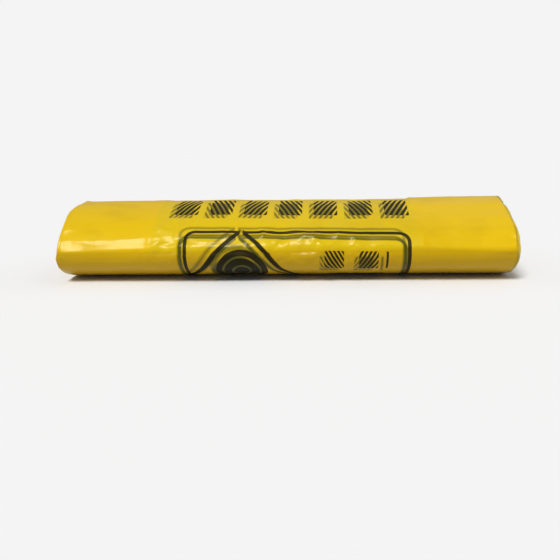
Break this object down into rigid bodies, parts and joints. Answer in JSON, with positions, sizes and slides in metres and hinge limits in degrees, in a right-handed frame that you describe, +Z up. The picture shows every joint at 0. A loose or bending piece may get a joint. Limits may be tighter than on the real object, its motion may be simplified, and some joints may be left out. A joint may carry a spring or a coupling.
{
  "type": "rolled pack of biohazard waste bags",
  "caption": "Flattened roll of yellow film waste bags, nested and rolled up together, for lining clinical waste bins.",
  "frame": {"origin": "middle of the underside, on the surface that the roll lies on", "axes": "+X along the roll, -Y towards the printed front, +Z up"},
  "size_m": [0.508, 0.1824, 0.0842],
  "materials": {
    "printed_film": "glossy translucent yellow polyethylene film with a black printed panel",
    "film_layers": "stacked edges and ends of the same yellow film"
  },
  "bodies": {
    "root": {"outer_bag": "printed_film", "second_bag": "printed_film", "third_bag": "printed_film", "bags_04_to_15": "film_layers", "bags_16_to_27": "film_layers", "bags_28_to_39": "film_layers", "bags_40_to_50": "film_layers"}
  },
  "joints": []
}
